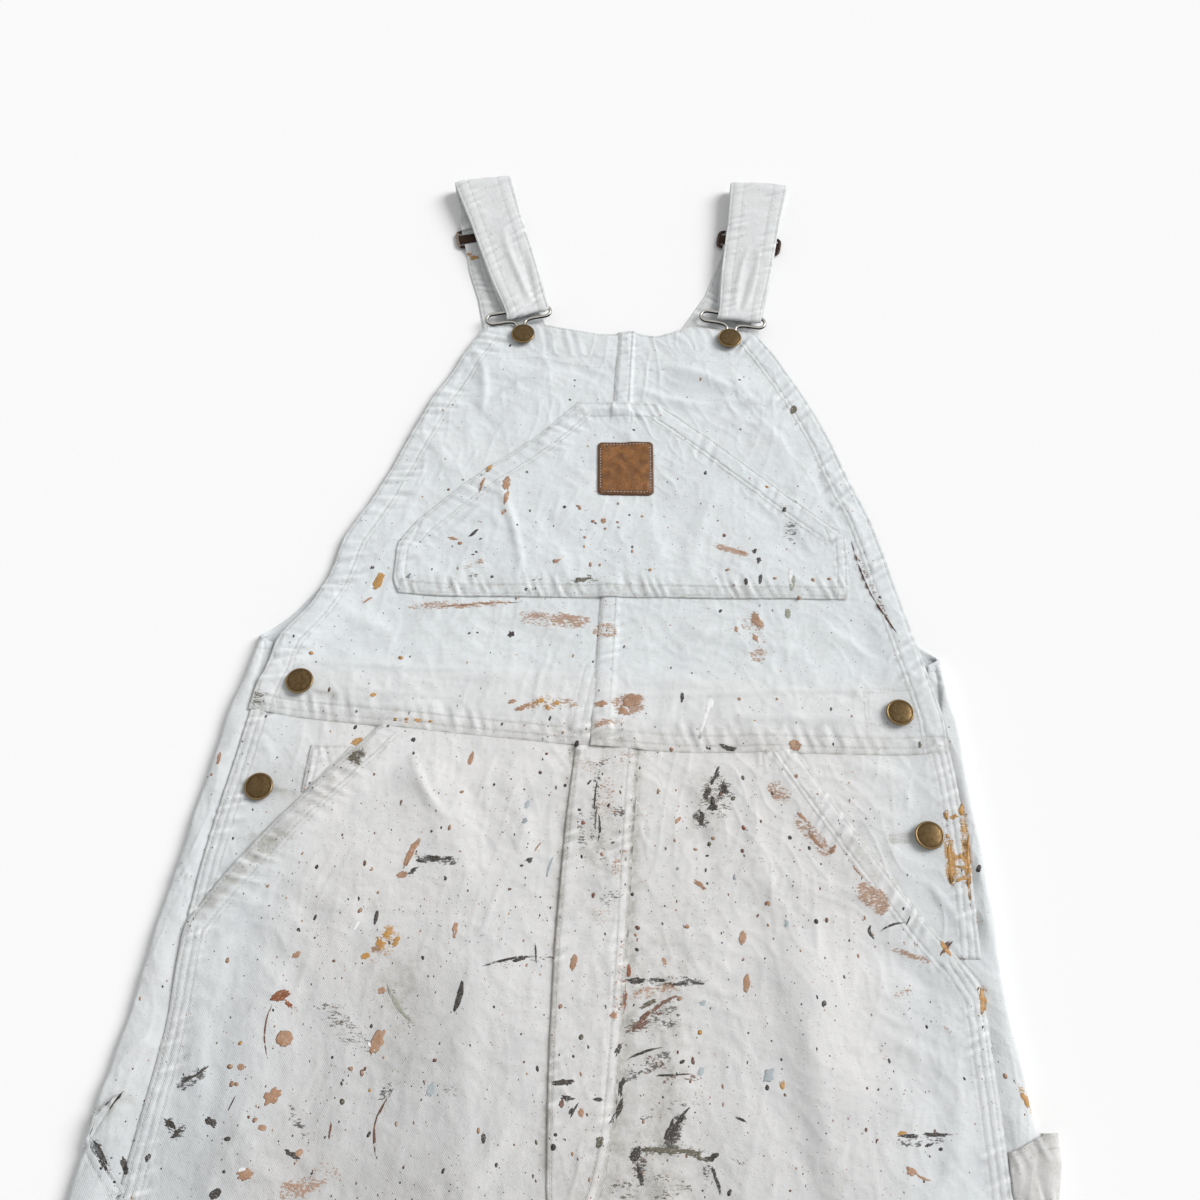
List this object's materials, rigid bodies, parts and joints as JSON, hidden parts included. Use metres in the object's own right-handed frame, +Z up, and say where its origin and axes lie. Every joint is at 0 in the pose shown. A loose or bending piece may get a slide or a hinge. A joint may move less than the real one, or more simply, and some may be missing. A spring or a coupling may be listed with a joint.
{
  "type": "paint spattered bib overalls",
  "caption": "White cotton drill painter's bib overalls laid flat on their back, straps hooked to the bib, worn and spattered with paint.",
  "frame": {"origin": "middle of the garment's plan box, on the surface it lies on", "axes": "+Y up the garment from the hems to the straps, +X to the viewer's right, +Z up off the surface, the fronts facing up"},
  "size_m": [0.6236, 1.6778, 0.0154],
  "materials": {
    "white_drill": "matte woven cotton drill, washed soft, grimy at the pocket mouths and fly, spattered with paint",
    "brown_leather": "scuffed brown leather, bare, stitched round",
    "aged_brass": "antique brass with rubbed rims",
    "nickel_wire": "dull nickel plated wire"
  },
  "bodies": {
    "root": {"back_left": "white_drill", "back_right": "white_drill", "front_left": "white_drill", "front_right": "white_drill", "pocket_facing_left": "white_drill", "pocket_facing_right": "white_drill", "bib_left": "white_drill", "bib_right": "white_drill", "bib_pocket": "white_drill", "fly": "white_drill", "watch_pocket": "white_drill", "tool_pocket": "white_drill", "hammer_loop": "white_drill", "strap_left": "white_drill", "strap_right": "white_drill", "leather_patch": "brown_leather", "slider_left": "aged_brass", "slider_right": "aged_brass", "button_bib_left": "aged_brass", "button_bib_right": "aged_brass", "button_waist_left": "aged_brass", "button_waist_right": "aged_brass", "button_hip_left": "aged_brass", "button_hip_right": "aged_brass", "hook_left": "nickel_wire", "hook_right": "nickel_wire"}
  },
  "joints": []
}
